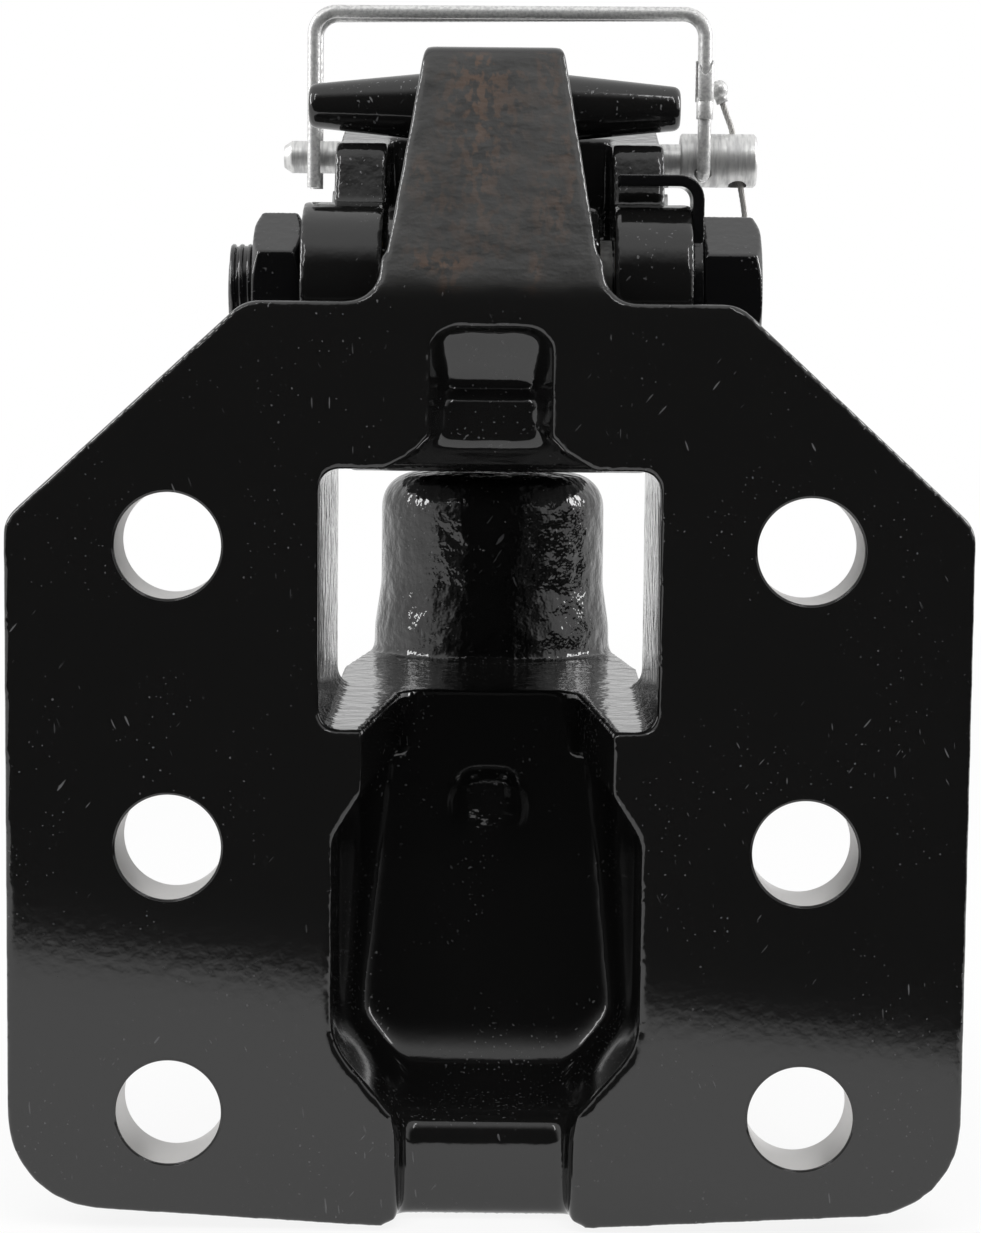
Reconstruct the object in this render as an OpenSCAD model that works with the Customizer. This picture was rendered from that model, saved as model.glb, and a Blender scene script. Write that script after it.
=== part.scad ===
// Rigid-mount pintle hook with a locking upper jaw.
// X runs across the hook, Y forward from the mounting face and Z up.
// The origin is the centre of the four corner bolt holes, on the mounting face.

/* [Mounting flange] */
// Width of the flange
flange_w = 192; // [180:1:210]
// Thickness of the flange
flange_t = 15.9; // [14:0.1:20]
// Height of the flange's top edge above the origin
flange_top = 105.5; // [100:0.5:108]
// Depth of the flange's lowest edge below the origin
flange_drop = 80.5; // [76:0.5:88]
// Width of the flat part of the top edge
top_flat_w = 97; // [90:1:110]
// Height above the origin where the sloping shoulders end
shoulder_z = 62; // [56:1:70]
// Corner radius at the bottom of the flange
bottom_corner_r = 19; // [10:1:22]
// Hole spacing across the flange
bolt_span_x = 127; // [120:0.5:135]
// Spacing between the top and the bottom row of holes
bolt_span_z = 114.3; // [108:0.1:120]
// Drop of the middle row below the origin
mid_row_drop = 3.175; // [0:0.005:8]
// Bolt hole diameter
bolt_hole_d = 21.1; // [17:0.1:22]

/* [Window and cavity] */
// Width of the window
window_w = 67.4; // [60:0.2:70]
// Height of the window's floor above the origin
window_floor = 20.7; // [16:0.1:26]
// Height of the window's roof above the origin
window_roof = 72.5; // [68:0.1:74]
// Widest part of the cored cavity under the window
cavity_w = 61.4; // [50:0.2:66]
// Narrow part of the cavity, next to the window
cavity_neck_w = 50; // [40:0.5:54]
// Width of the cavity's mouth at its far end
cavity_back_w = 37; // [32:0.5:40]
// Width of the drain channel at the bottom of the flange
channel_w = 34; // [26:0.5:40]
// Depth of the drain channel
channel_depth = 8; // [6:0.5:9]
// Depth of the cavity's floor below the origin
cavity_drop = 60; // [56:0.5:61]
// Depth of the cavity, forward from the mounting face
cavity_depth = 66; // [50:1:68]
// Width of the pocket above the window
pocket_w = 25; // [20:0.5:28]
// Height of the pocket's top above the origin
pocket_top = 100.5; // [96:0.5:101]
// Depth of the pocket
pocket_depth = 13; // [12.5:0.5:14]
// Depth of the pocket's pad at its top
pad_y = 6; // [5:0.5:7]
// Height of the pad's lower end above the origin
pad_low = 88; // [87.5:0.5:89]
// Depth of the step under the pad
step_y = 7.5; // [7:0.5:8]
// Height of the hollow under the step above the origin
hollow_z = 81.5; // [81:0.5:82]
// How much each side of the pocket closes in with depth
pocket_draft = 4; // [2:0.5:5]

/* [Neck and pintle horn] */
// Width of the central block
block_w = 86; // [80:1:87]
// Front face of the central block, which the tow ring bears on
block_front = 75; // [72:1:80]
// Height of the central block's top
block_top = 84; // [82:0.5:85]
// Depth of the block's front face below the origin
block_chin = 34; // [30:1:38]
// Where the block's underside bends, forward from the mounting face
block_bend_y = 40; // [36:1:44]
// Depth of the block's underside below the origin, at that bend
block_belly = 66; // [63:1:70]
// Depth of the block's root below the origin, at the flange
block_root_drop = 74; // [72:1:76]
// Depth of the neck's underside below the origin, under the throat
neck_drop = 34; // [30:1:38]
// Width of the neck under the throat
neck_w = 68; // [60:1:76]
// Pintle horn diameter
horn_d = 54; // [48:0.5:56]
// Centre of the horn, forward from the mounting face
horn_y = 146; // [144:1:152]
// Height of the horn's top
horn_top = 64.5; // [60:0.5:65]
// Fillet radius at the horn's root
horn_root_r = 9; // [4:0.5:12]

/* [Tower] */
// Tower width at its root
tower_root_w = 43.8; // [38:0.2:44]
// Tower width at its top
tower_top_w = 27.6; // [22:0.2:30]
// Height of the tower's top
tower_top = 156.5; // [150:0.5:158]
// How far the tower's rear face leans forward at its top
tower_lean = 20; // [14:0.5:22]
// Thickness of the tower at its top
tower_top_t = 14; // [10:0.5:15]

/* [Jaw pivot] */
// Pivot axis, forward from the mounting face
pivot_y = 40; // [38:0.5:42]
// Height of the pivot axis
pivot_z = 107; // [106:0.5:108]
// Diameter of the pivot bolt
pivot_d = 19.05; // [16:0.05:20]
// Outer radius of the jaw's bosses
boss_r = 18.7; // [17:0.1:19]
// Outer face of the left boss, left of the origin
left_boss_x = 39.2; // [37:0.1:42]
// Outer face of the right boss, right of the origin
right_boss_x = 40.9; // [39:0.1:43]
// Wall of the bearing bush
bush_wall = 3; // [2:0.25:4]
// Diameter of the thrust washer
washer_d = 22.5; // [21.5:0.5:25]
// Thickness of the thrust washer
washer_t = 2.4; // [1.5:0.1:3]
// Hex size of bolt and nut, across flats
hex_af = 28.6; // [26:0.1:30]
// Thickness of the jam nut
nut_t = 10; // [8:0.5:12]
// Thickness of the bolt head
head_t = 11.8; // [10:0.1:13]
// Length of thread past the nut
thread_end = 5.2; // [2:0.2:8]
// Thickness of the keeper plate
keeper_t = 2.4; // [1.5:0.1:3]

/* [Upper jaw] */
// Thickness of each cheek
cheek_t = 11; // [9:0.2:13]
// Height of the cheeks at the rear
cheek_rear_z = 138.5; // [134:0.5:139]
// Height of the cheeks above the lock pin's axis
pin_cover = 7; // [6:0.5:7.5]
// Width of the nose
nose_w = 48; // [40:1:54]
// Gap between the closed nose and the horn
nose_gap = 1; // [1:0.25:4]

/* [Lock lever] */
// Lever pin, forward from the mounting face
lever_y = 100; // [99:0.5:102]
// Height of the lever pin
lever_z = 125; // [124:0.5:126]
// Lever pin diameter
lever_pin_d = 9.5; // [8:0.5:10]
// Radius of the lever's hub
lever_hub_r = 8.2; // [7:0.1:8.4]
// Width of the lever
lever_w = 24; // [20:0.5:26]
// T-handle axis, forward from the mounting face
handle_y = 54; // [53:0.5:56]
// Height of the T-handle axis
handle_z = 146.2; // [145:0.2:147]
// Length of the T-handle
handle_len = 78.4; // [70:0.2:84]
// T-handle diameter at its ends
handle_end_d = 9.1; // [8:0.1:10]
// T-handle diameter in the middle
handle_mid_d = 15.4; // [13:0.1:16]

/* [Lock pin and bail] */
// Lock pin axis, forward from the mounting face
pin_y = 105; // [104.5:0.5:107]
// Height of the lock pin axis
pin_z = 137.5; // [137:0.1:138.5]
// Lock pin diameter
pin_d = 7.3; // [6.4:0.1:7.4]
// Tip of the pin, left of the origin
pin_tip_x = 48; // [46:0.5:52]
// Length of the pin's head
pin_head_len = 17.3; // [15:0.1:20]
// Diameter of the pin's head
pin_head_d = 12.1; // [11:0.1:12.5]
// Inner face of the pin's head, right of the origin
pin_head_x = 42; // [40.5:0.5:43]
// Bail wire diameter
bail_d = 3; // [2.4:0.1:3.2]
// Left leg of the bail, left of the origin
bail_left_x = 41; // [40.5:0.5:43]
// Right leg of the bail, right of the origin
bail_right_x = 47; // [46:0.5:48]
// Height of the bail's top bar
bail_top_z = 169.8; // [164:0.2:174]
// How far the bail's hinge hole lies under the pin axis
bail_hole_drop = 3.4; // [2:0.1:3.6]

/* [Hidden] */
$fn = 48;

black_paint = [0.05, 0.05, 0.055];
zinc = [0.72, 0.73, 0.74];
arc_steps = 6;
eps = 0.01;
over = 1;

// Fits
run_gap = 0.05;
free_gap = 0.4;
slide_gap = 0.1;
side_gap = 0.5;

// Places worked out from the sizes above
pivot = [pivot_y, pivot_z];
lever_axis = [lever_y, lever_z];
lock_axis = [pin_y, pin_z];
root_x = tower_root_w / 2;
cheek_top_z = pin_z + pin_cover;
left_in = -root_x - side_gap;
right_in = root_x + side_gap + washer_t;
cheek_left = left_in - cheek_t;
cheek_right = right_in + cheek_t;
keeper_x = right_boss_x + keeper_t;
bush_r = pivot_d / 2 + run_gap + bush_wall;
lug_r = boss_r - free_gap;
jaw_floor = block_top + 2.2;
nose_floor = horn_top + nose_gap;
nose_front = horn_y + horn_d / 2;
throat_roof = 84;
boss_mark_w = 12;
brow_z = 98;
crown_z = 122;
tower_front = [pivot_y + 6, pivot_z + lug_r];
tower_tip = [tower_lean + tower_top_t, tower_top];
lock_gap = 2.2;
lever_pin_end = 3.2;
ring_t = 1.4;
ring_gap = 0.2;
ring_wide = 2.4;
tower_fillet = 6.5;
block_fillet_r = 7;
keeper_lift = 3.6;
keeper_bend = 5;
keeper_rear = 9;
keeper_ahead = 3;
keeper_seat_r = 14;

// Torsion spring round the lever pin, with a tang at each end
spring_wire = 1.8;
spring_turns = 3;
spring_pitch = 2;
spring_steps = 14;
spring_tang = 3;
spring_r = lever_pin_d / 2 + 0.3 + spring_wire / 2;
spring_x0 = lever_w / 2 - spring_turns * spring_pitch - spring_wire;
spring_from = 150;
function on_coil(i) = let (a = spring_from + 360 * i / spring_steps)
    [spring_x0 + spring_wire / 2 + spring_pitch * i / spring_steps, lever_y + spring_r * cos(a),
        lever_z + spring_r * sin(a)];
spring_coil = [for (i = [0:spring_turns * spring_steps]) on_coil(i)];
spring_first = spring_coil[0];
spring_last = spring_coil[len(spring_coil) - 1];
spring_path = concat([spring_first - [spring_tang, 0, 0]], spring_coil,
    [spring_last + [spring_tang, 0, 0]]);

// Wire bail: the near strand turns in the pin's head, the far one is crimped to it by the sleeve
wire_gap = 0.4;
head_gap = 0.3;
strand_gap = 0.2;
bend_r = 5;
bail_end_z = pin_z - 7;
hinge_z = pin_z - bail_hole_drop;
head_near = pin_y - pin_head_d / 2 - bail_d / 2 - head_gap;
tip_near = pin_y - pin_d / 2 - bail_d / 2 - wire_gap;
tip_far = pin_y + pin_d / 2 + bail_d / 2 + wire_gap;
strand_y = head_near + bail_d + strand_gap;
sleeve_z = 150;
sleeve_len = 9.6;
collar_z = 146.4;
sleeve_wall = 0.8;
near_path = concat(
    [[bail_right_x, pin_y - 1, hinge_z], [bail_right_x, head_near + 1.6, hinge_z],
        [bail_right_x, head_near + 0.4, hinge_z + 0.5], [bail_right_x, head_near, hinge_z + 2]],
    quarter([bail_right_x - bend_r, bail_top_z - bend_r], 0, head_near),
    quarter([-bail_left_x + bend_r, bail_top_z - bend_r], 90, tip_near),
    [[-bail_left_x, tip_near, bail_end_z]]);
far_path = concat(
    [[bail_right_x, strand_y, sleeve_z + 1]],
    quarter([bail_right_x - bend_r, bail_top_z - bend_r], 0, strand_y),
    quarter([-bail_left_x + bend_r, bail_top_z - bend_r], 90, tip_far),
    [[-bail_left_x, tip_far, bail_end_z]]);

// Cable route, from the anchor in the jaw's cheek through the pin's head to the ball
tether_d = 1.4;
tether_route = [[40, 114, 104], [43, 114, 104], [46, 114.8, 103.6], [49, 117, 102.4], [51.4, 120, 100],
    [53, 122.4, 96.4], [54, 123.6, 92], [54.8, 123, 87.4], [55.4, 120.6, 83.6], [56, 117, 82],
    [56.4, 113.2, 82.8], [56.8, 109.8, 85.4], [57, 107.6, 89.4], [57.2, 106.4, 94.4], [57.2, 105.6, 100],
    [57.2, 105, 106.2], [57.2, 104.5, 112.6], [57.2, 104, 119], [56.8, 103.3, 125.6],
    [55.8, 103, 131.5], [55, 104.4, 136], [54.4, 106, 141], [53.8, 106.6, 144.6], [52.4, 106.6, 148.4],
    [51.6, 106.6, 150.6]];
tether_hole_x = 55;
tether_hole_d = 4.2;
tether_hole_tilt = 20;
tether_start = tether_route[0];
tether_end = tether_route[len(tether_route) - 1];
tether_rise = tether_end - tether_route[len(tether_route) - 2];
tether_ball_d = 5;
collar_d = 2.8;
collar_len = 1.2;
ferrule_d = 5;
ferrule_depth = 5;

// A corner rounded to radius r, as points of its arc
function unit2(v) = v / norm(v);
function turn(a) = a > 180 ? a - 360 : a < -180 ? a + 360 : a;
function corner_arc(a, b, c, r) =
    let (u = unit2(a - b), w = unit2(c - b), half = acos(u * w) / 2,
        mid = b + unit2(u + w) * r / sin(half),
        p0 = b + u * r / tan(half) - mid, p1 = b + w * r / tan(half) - mid, a0 = atan2(p0[1], p0[0]),
        sweep = turn(atan2(p1[1], p1[0]) - a0))
    [for (k = [0:arc_steps]) mid + r * [cos(a0 + sweep * k / arc_steps), sin(a0 + sweep * k / arc_steps)]];
function xy(p) = [p[0], p[1]];
// An outline from corners given as [x, y, radius]
function rounded(p) = let (n = len(p))
    [for (i = [0:n - 1]) each p[i][2] > 0
        ? corner_arc(xy(p[(i + n - 1) % n]), xy(p[i]), xy(p[(i + 1) % n]), p[i][2]) : [xy(p[i])]];
// A quarter bend of the bail's wire round c in the plane at y, from angle a0
function quarter(c, a0, y) =
    [for (k = [0:4]) [c[0] + bend_r * cos(a0 + 22.5 * k), y, c[1] + bend_r * sin(a0 + 22.5 * k)]];
function mirrored(p) = concat(p, [for (i = [len(p) - 1:-1:0]) [-p[i][0], p[i][1], p[i][2]]]);

// Extrusions of a flat outline along each axis
module along_x(x0, x1) { translate([x0, 0, 0]) rotate([90, 0, 90]) linear_extrude(x1 - x0) children(); }
module along_y(y0, y1) { translate([0, y1, 0]) rotate([90, 0, 0]) linear_extrude(y1 - y0) children(); }
module along_z(z0, z1) { translate([0, 0, z0]) linear_extrude(z1 - z0) children(); }
// A round bar or bore along X at a point of the side view
module bar_x(at, r, x0, x1) {
    translate([x0, at[0], at[1]]) rotate([0, 90, 0]) cylinder(r = r, h = x1 - x0);
}

// Tube of n sides swept along points
function tangent(p, i) = let (a = p[max(i - 1, 0)], b = p[min(i + 1, len(p) - 1)]) (b - a) / norm(b - a);
function flat_side(t) = let (s = cross(t, abs(t[1]) < 0.9 ? [0, 1, 0] : [1, 0, 0])) s / norm(s);
function ring(p, i, r, n) = let (t = tangent(p, i), u = flat_side(t), v = cross(t, u))
    [for (k = [0:n - 1]) p[i] + r * (u * cos(360 * k / n) + v * sin(360 * k / n))];
module tube(p, r, n) {
    last = len(p) - 1;
    pts = [for (i = [0:last]) each ring(p, i, r, n)];
    walls = [for (i = [0:last - 1], k = [0:n - 1]) each [
        [i * n + k, i * n + (k + 1) % n, (i + 1) * n + k],
        [i * n + (k + 1) % n, (i + 1) * n + (k + 1) % n, (i + 1) * n + k]]];
    caps = [[for (k = [n - 1:-1:0]) k], [for (k = [0:n - 1]) last * n + k]];
    outward = [for (f = concat(walls, caps)) [f[0], for (k = [len(f) - 1:-1:1]) f[k]]];
    polyhedron(points = pts, faces = outward);
}

// Hook body
module flange_outline() {
    polygon(rounded(mirrored([
        [top_flat_w / 2, flange_top, 7],
        [flange_w / 2, shoulder_z, 6],
        [flange_w / 2, -flange_drop + 4, bottom_corner_r],
        [channel_w / 2 + 5, -flange_drop, 3]])));
}

module cavity() {
    low_z = -flange_drop - over;
    lip_z = window_floor - 13;
    intersection() {
        along_y(-over, cavity_depth + over) polygon(rounded(mirrored([
            [cavity_neck_w / 2, window_floor + 4, 0],
            [cavity_neck_w / 2, lip_z, 4],
            [cavity_w / 2, lip_z - 9, 6],
            [cavity_w / 2, -cavity_drop + 17, 14],
            [channel_w / 2, -cavity_drop + 1, 8],
            [channel_w / 2, low_z, 0]])));
        along_x(-cavity_w, cavity_w) polygon(rounded([
            [-over, low_z, 0], [channel_depth, low_z, 0], [channel_depth, -cavity_drop, 3],
            [cavity_depth - 30, -cavity_drop + 1, 16], [cavity_depth - 8, window_floor - 31, 24],
            [cavity_depth, window_floor + 4, 0], [-over, window_floor + 4, 0]]));
        union() {
            along_z(low_z, lip_z) polygon(rounded(mirrored([
                [cavity_w / 2 + 4, -over, 0], [cavity_neck_w / 2 - 1, cavity_depth, 16]])));
            along_z(lip_z - eps, window_floor + 4) polygon(rounded(mirrored([
                [cavity_neck_w / 2, -over, 0], [cavity_back_w / 2, cavity_depth, 9]])));
        }
    }
}

// Boss left standing on the cavity's far wall
module cavity_boss() {
    along_y(cavity_depth - 9, cavity_depth + over) polygon(rounded(mirrored([
        [boss_mark_w / 2, window_floor - 18, 3], [boss_mark_w / 2, window_floor - 33, 2],
        [boss_mark_w, window_floor - 42, 2]])));
}

module window_cut() {
    flare_z = window_roof + 6;
    along_y(-over, block_front + over) polygon(rounded(mirrored([
        [window_w / 2, window_floor, 3.5], [window_w / 2, window_roof, 3.5]])));
    intersection() {
        along_y(-over, flange_t) polygon(rounded(mirrored([
            [pocket_w / 2 + 8, window_roof - 3, 0], [pocket_w / 2 + 8, window_roof - eps, 0],
            [pocket_w / 2, window_roof + 5, 6], [pocket_w / 2, pocket_top, 6]])));
        along_x(-pocket_w, pocket_w) polygon(rounded([
            [-over, window_roof - 3, 0], [-over, pocket_top + over, 0], [pad_y, pocket_top + over, 0],
            [pad_y, pocket_top - 2.4, 1.5], [pocket_depth, pad_low, 1.5], [step_y, pad_low - 1.9, 1],
            [step_y + 2.5, hollow_z, 1.8], [step_y + 0.7, hollow_z - 2.9, 1.5],
            [step_y + 1.9, hollow_z - 5.1, 1], [flange_t, window_roof + 0.5, 0],
            [flange_t, window_roof - 3, 0]]));
        union() {
            along_z(flare_z - eps, pocket_top + over) polygon(rounded(mirrored([
                [pocket_w / 2, -over, 0], [pocket_w / 2 - pocket_draft, pocket_depth + over, 0]])));
            along_z(window_roof - 3, flare_z) polygon(rounded(mirrored([
                [pocket_w, -over, 0], [pocket_w, flange_t, 0]])));
        }
    }
}

module neck() {
    intersection() {
        along_x(-neck_w, neck_w) polygon(rounded([
            [block_front - 25, window_floor, 0], [horn_y + 8, window_floor, 0],
            [nose_front - 3, window_floor + 8, 6], [nose_front + 2, window_floor - 8, 14],
            [horn_y + 8, -neck_drop + 18, 34], [horn_y - 30, -neck_drop, 34],
            [block_front - 2, -neck_drop - 5, 20], [block_front - 25, -neck_drop - 14, 0]]));
        along_z(-neck_drop - 26, window_floor + 20) union() {
            polygon([[-neck_w / 2, block_front - 26], [neck_w / 2, block_front - 26],
                [neck_w / 2, horn_y - 38], [horn_d / 2 + 2, horn_y], [-horn_d / 2 - 2, horn_y],
                [-neck_w / 2, horn_y - 38]]);
            translate([0, horn_y]) circle(r = horn_d / 2 + 2, $fn = 96);
        }
        along_y(block_front - 26, nose_front + 6) polygon(rounded(mirrored([
            [neck_w / 2 + 1, window_floor + 20, 0], [neck_w / 2 + 1, -neck_drop + 20, 24],
            [neck_w / 4, -neck_drop - 18, 14]])));
    }
}

module horn() {
    r = horn_d / 2;
    translate([0, horn_y, 0]) rotate_extrude($fn = 96) polygon(rounded([
        [0, window_floor - 8, 0], [r + horn_root_r * 0.2, window_floor - 8, 0],
        [r + 1.5, window_floor + 6, 0], [r, window_floor + 16, 0], [r, horn_top - 2, 8],
        [r * 0.5, horn_top, 12], [0, horn_top, 0]]));
}

module tower() {
    wide = root_x + tower_fillet + 2.5;
    intersection() {
        along_x(-wide - over, wide + over) polygon(rounded([
            [0, window_roof + 6, 0], [0, flange_top + 2, 24], [tower_lean, tower_top, 4],
            [tower_tip[0], tower_tip[1], 4], [tower_front[0], tower_front[1], 0],
            [pivot_y + lug_r, pivot_z, 0], [pivot_y + lug_r, window_roof + 6, 0]]));
        union() {
            along_y(-over, pivot_y + lug_r + over) polygon(rounded(mirrored([
                [root_x, window_roof, 0], [root_x, pivot_z + 1, 0], [tower_top_w / 2, tower_top + 1, 3]])));
            along_y(-over, flange_t) polygon(rounded(mirrored([
                [wide, flange_top - 2, 0], [wide, flange_top, 0], [root_x, flange_top, tower_fillet],
                [root_x, flange_top + tower_fillet + 2.5, 0]])));
        }
    }
    bar_x(pivot, lug_r, -root_x, root_x);
}

module hook_body() {
    color(black_paint) difference() {
        union() {
            along_y(0, flange_t) flange_outline();
            along_x(-block_w / 2, block_w / 2) polygon(rounded([
                [0, block_top, 0], [block_front, block_top, 5], [block_front, -block_chin, 12],
                [block_bend_y, -block_belly, 14], [0, -block_root_drop, 0]]));
            for (side = [-1, 1]) translate([side * block_w / 2, 0, 0]) block_fillet(side);
            neck();
            horn();
            tower();
        }
        window_cut();
        difference() {
            cavity();
            cavity_boss();
        }
        bar_x(pivot, bush_r, -root_x - over, root_x + over);
        for (x = [-1, 1], z = [bolt_span_z / 2, -mid_row_drop, -bolt_span_z / 2])
            translate([x * bolt_span_x / 2, -over, z]) rotate([-90, 0, 0])
                cylinder(d = bolt_hole_d, h = flange_t + 2 * over);
    }
}

// Root fillet where the block's side meets the flange
module block_fillet(side) {
    r = block_fillet_r;
    along_z(-block_belly, block_top - 6) difference() {
        translate([side > 0 ? 0 : -r, flange_t - over]) square([r, r + over]);
        translate([side * r, flange_t + r]) circle(r = r);
    }
}

module pivot_bush() {
    color(zinc) difference() {
        bar_x(pivot, bush_r - eps, -root_x, root_x);
        bar_x(pivot, pivot_d / 2 + run_gap, -root_x - over, root_x + over);
    }
}

module thrust_washer() {
    color(zinc) difference() {
        bar_x(pivot, washer_d / 2, root_x + side_gap / 2, root_x + side_gap / 2 + washer_t);
        bar_x(pivot, pivot_d / 2 + slide_gap, root_x, root_x + side_gap + washer_t);
    }
}

// Upper jaw
module jaw_side() {
    polygon(rounded([
        [pivot_y, pivot_z - boss_r, 0], [block_front + 1, jaw_floor, 5],
        [horn_y - 42, throat_roof, 10], [horn_y - 34, nose_floor, 6],
        [nose_front - 4, nose_floor, 5], [nose_front, nose_floor + 14, 8],
        [nose_front - 5, brow_z, 20], [horn_y + 4, crown_z, 22], [pin_y + 15, cheek_top_z, 12],
        [lever_y - 8, cheek_top_z, 14], [handle_y + 14, cheek_rear_z + 1, 8],
        [pivot_y + 10, cheek_rear_z, 5], [pivot_y + 4, pivot_z + boss_r, 0]]));
}

module jaw_plan() {
    mid = (cheek_left + cheek_right) / 2;
    polygon(rounded([
        [cheek_left, 0, 0], [cheek_right, 0, 0], [cheek_right, pin_y + 14, 16],
        [mid + nose_w / 2, horn_y + 6, 20], [mid + nose_w / 2 - 6, nose_front + over, 14],
        [mid - nose_w / 2 + 6, nose_front + over, 14], [mid - nose_w / 2, horn_y + 6, 20],
        [cheek_left, pin_y + 14, 16]]));
}

module upper_jaw() {
    slot_x = lever_w / 2 + side_gap;
    color(black_paint) difference() {
        union() {
            intersection() {
                along_x(cheek_left - over, cheek_right + over) jaw_side();
                along_z(nose_floor - over, cheek_top_z + over) jaw_plan();
            }
            bar_x(pivot, boss_r, -left_boss_x, left_in);
            bar_x(pivot, boss_r, right_in, right_boss_x);
        }
        // Gap between the cheeks, round the tower
        along_x(left_in, right_in) polygon(rounded([
            [pivot_y - boss_r - over, jaw_floor - over, 0], [pivot_y + lug_r + 5, jaw_floor - over, 0],
            [pivot_y + lug_r + 5, pivot_z + 8, 4], [pivot_y + 33, pivot_z + 12, 0],
            [pivot_y + 33, cheek_top_z + over, 0], [pivot_y - boss_r - over, cheek_top_z + over, 0]]));
        // Slot that the lever lies in
        along_x(-slot_x, slot_x) polygon(rounded([
            [pivot_y + 30, pivot_z + 7, 0], [lever_y + 11, pivot_z + 7, 9],
            [lever_y + 14, cheek_top_z + over, 0], [pivot_y + 30, cheek_top_z + over, 0]]));
        bar_x(pivot, pivot_d / 2 + run_gap, -left_boss_x - over, right_boss_x + over);
        bar_x(lever_axis, lever_pin_d / 2 + run_gap, cheek_left - over, cheek_right + over);
        bar_x(lock_axis, pin_d / 2 + slide_gap, cheek_left - over, cheek_right + over);
        bar_x([spring_last[1], spring_last[2]], spring_wire / 2 + free_gap, slot_x - over,
            spring_last[0] + spring_tang + over);
        bar_x([tether_start[1], tether_start[2]], ferrule_d / 2 + run_gap,
            cheek_right - ferrule_depth - eps, cheek_right + over);
    }
}

// Hexagon along X with one flat to the rear and its corners turned down by the chamfer
module hex_x(x0, x1, chamfer_low, chamfer_high) {
    corner = hex_af / sqrt(3);
    face = hex_af / 2 - 0.3;
    drop = (corner - face) * tan(30);
    intersection() {
        translate([x0, pivot_y, pivot_z]) rotate([0, 90, 0]) cylinder(r = corner, h = x1 - x0, $fn = 6);
        translate([x0, pivot_y, pivot_z]) rotate([0, 90, 0]) rotate_extrude() polygon([
            [0, 0], [chamfer_low ? face : corner, 0], [corner, chamfer_low ? drop : 0],
            [corner, x1 - x0 - (chamfer_high ? drop : 0)], [chamfer_high ? face : corner, x1 - x0],
            [0, x1 - x0]]);
    }
}

module pivot_bolt() {
    nut_out = left_boss_x + nut_t;
    color(black_paint) {
        hex_x(keeper_x, keeper_x + head_t, false, true);
        translate([-nut_out - thread_end, pivot_y, pivot_z]) rotate([0, 90, 0]) rotate_extrude() polygon([
            [0, 0], [pivot_d / 2 - 1.5, 0], [pivot_d / 2, 1.5],
            [pivot_d / 2, nut_out + thread_end + keeper_x + eps],
            [0, nut_out + thread_end + keeper_x + eps]]);
    }
}

module pivot_nut() {
    color(black_paint) difference() {
        hex_x(-left_boss_x - nut_t, -left_boss_x, true, true);
        bar_x(pivot, pivot_d / 2 + run_gap, -left_boss_x - nut_t - over, -left_boss_x + over);
    }
}

// Strap that reaches over the right boss and turns down behind the bolt head
module keeper_plate() {
    under_r = boss_r + keeper_lift;
    top_z = pivot_z + under_r + keeper_t;
    color(black_paint) difference() {
        union() {
            intersection() {
                along_y(pivot_y - keeper_rear, pivot_y + keeper_ahead) polygon(rounded([
                    [right_in + 1, top_z - keeper_t, 0], [right_in + 1, top_z, 0],
                    [keeper_x, top_z, keeper_bend], [keeper_x, pivot_z, 0],
                    [right_boss_x + eps, pivot_z, 0],
                    [right_boss_x + eps, top_z - keeper_t, keeper_bend - keeper_t]]));
                bar_x(pivot, under_r + keeper_t + 1.5, right_in, keeper_x + over);
            }
            bar_x(pivot, keeper_seat_r, right_boss_x + eps, keeper_x);
        }
        bar_x(pivot, pivot_d / 2 + slide_gap, right_boss_x - over, keeper_x + over);
    }
}

// Lock lever with its T-handle
module handle_half(side) {
    translate([0, handle_y, handle_z]) rotate([0, side * 90, 0]) rotate_extrude() polygon(rounded([
        [0, 0, 0], [handle_mid_d / 2, 0, 0], [handle_mid_d / 2, 8, 0],
        [handle_end_d / 2, handle_len / 2, 1.4], [0, handle_len / 2, 0]]));
}

module lock_lever() {
    slope = (tower_front[0] - tower_tip[0]) / (tower_tip[1] - tower_front[1]);
    function nose_y(z) = tower_front[0] - (z - tower_front[1]) * slope + lock_gap;
    low_z = handle_z - handle_mid_d / 2;
    high_z = handle_z + 6;
    color(black_paint) difference() {
        union() {
            along_x(-lever_w / 2, lever_w / 2) polygon(rounded([
                [nose_y(low_z), low_z, 1.5], [nose_y(high_z), high_z, 2], [handle_y + 4, high_z, 4],
                [lever_y - 18, handle_z - 6, 10], [lever_y - 6, lever_z + 4, 0],
                [lever_y - 4, lever_z - 6, 0], [lever_y - 10, lever_z - 3, 2],
                [handle_y + 10, low_z - 1, 6]]));
            bar_x(lever_axis, lever_hub_r, -lever_w / 2, lever_w / 2);
            for (side = [-1, 1]) handle_half(side);
        }
        bar_x(lever_axis, lever_pin_d / 2 + run_gap, -lever_w / 2 - over, lever_w / 2 + over);
        // Room in the hub for the spring's coil
        bar_x(lever_axis, lever_hub_r + over, spring_x0 - side_gap, lever_w / 2 + over);
        bar_x([spring_first[1], spring_first[2]], spring_wire / 2 + free_gap,
            spring_first[0] - spring_tang - over, spring_x0);
    }
}

module lever_pin() {
    color(zinc) bar_x(lever_axis, lever_pin_d / 2, cheek_left - lever_pin_end, cheek_right + lever_pin_end);
}

// Retaining rings outside both cheeks
module lever_pin_rings() {
    color(zinc) for (x = [cheek_left - ring_gap - ring_t, cheek_right + ring_gap]) difference() {
        bar_x(lever_axis, lever_pin_d / 2 + ring_wide, x, x + ring_t);
        bar_x(lever_axis, lever_pin_d / 2 + eps, x - over, x + ring_t + over);
    }
}

module lever_spring() {
    color(zinc) tube(spring_path, spring_wire / 2, 8);
}

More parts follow.
